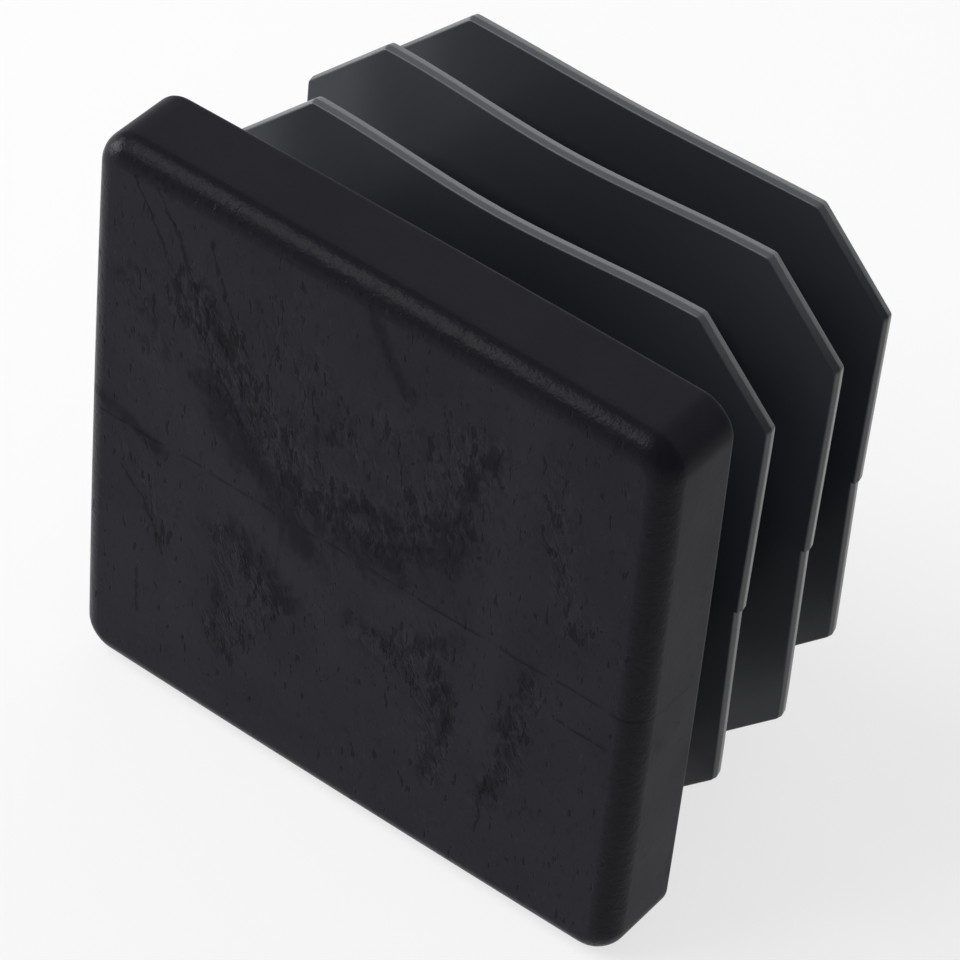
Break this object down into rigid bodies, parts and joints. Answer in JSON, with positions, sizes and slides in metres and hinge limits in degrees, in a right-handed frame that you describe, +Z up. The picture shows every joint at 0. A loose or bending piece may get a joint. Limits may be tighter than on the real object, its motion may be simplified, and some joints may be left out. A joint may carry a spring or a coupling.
{
  "type": "tube end cap",
  "caption": "Ribbed square end cap for a tube: a rounded square head with a hollow stem whose thin bowed fins grip the tube's bore.",
  "frame": {"origin": "centre of the head's shoulder plane, on the tube's axis, where the end of the tube seats", "axes": "+Y along the tube's axis, into the tube, from the head to the stem's open end; +Z up with the cap lying on its side; +X to the right seen from outside the tube"},
  "size_m": [0.03, 0.0194, 0.03],
  "materials": {
    "black_plastic": "black low-density polyethylene, satin mould finish with fine scuffs"
  },
  "bodies": {
    "root": {"end_cap": "black_plastic"}
  },
  "joints": []
}
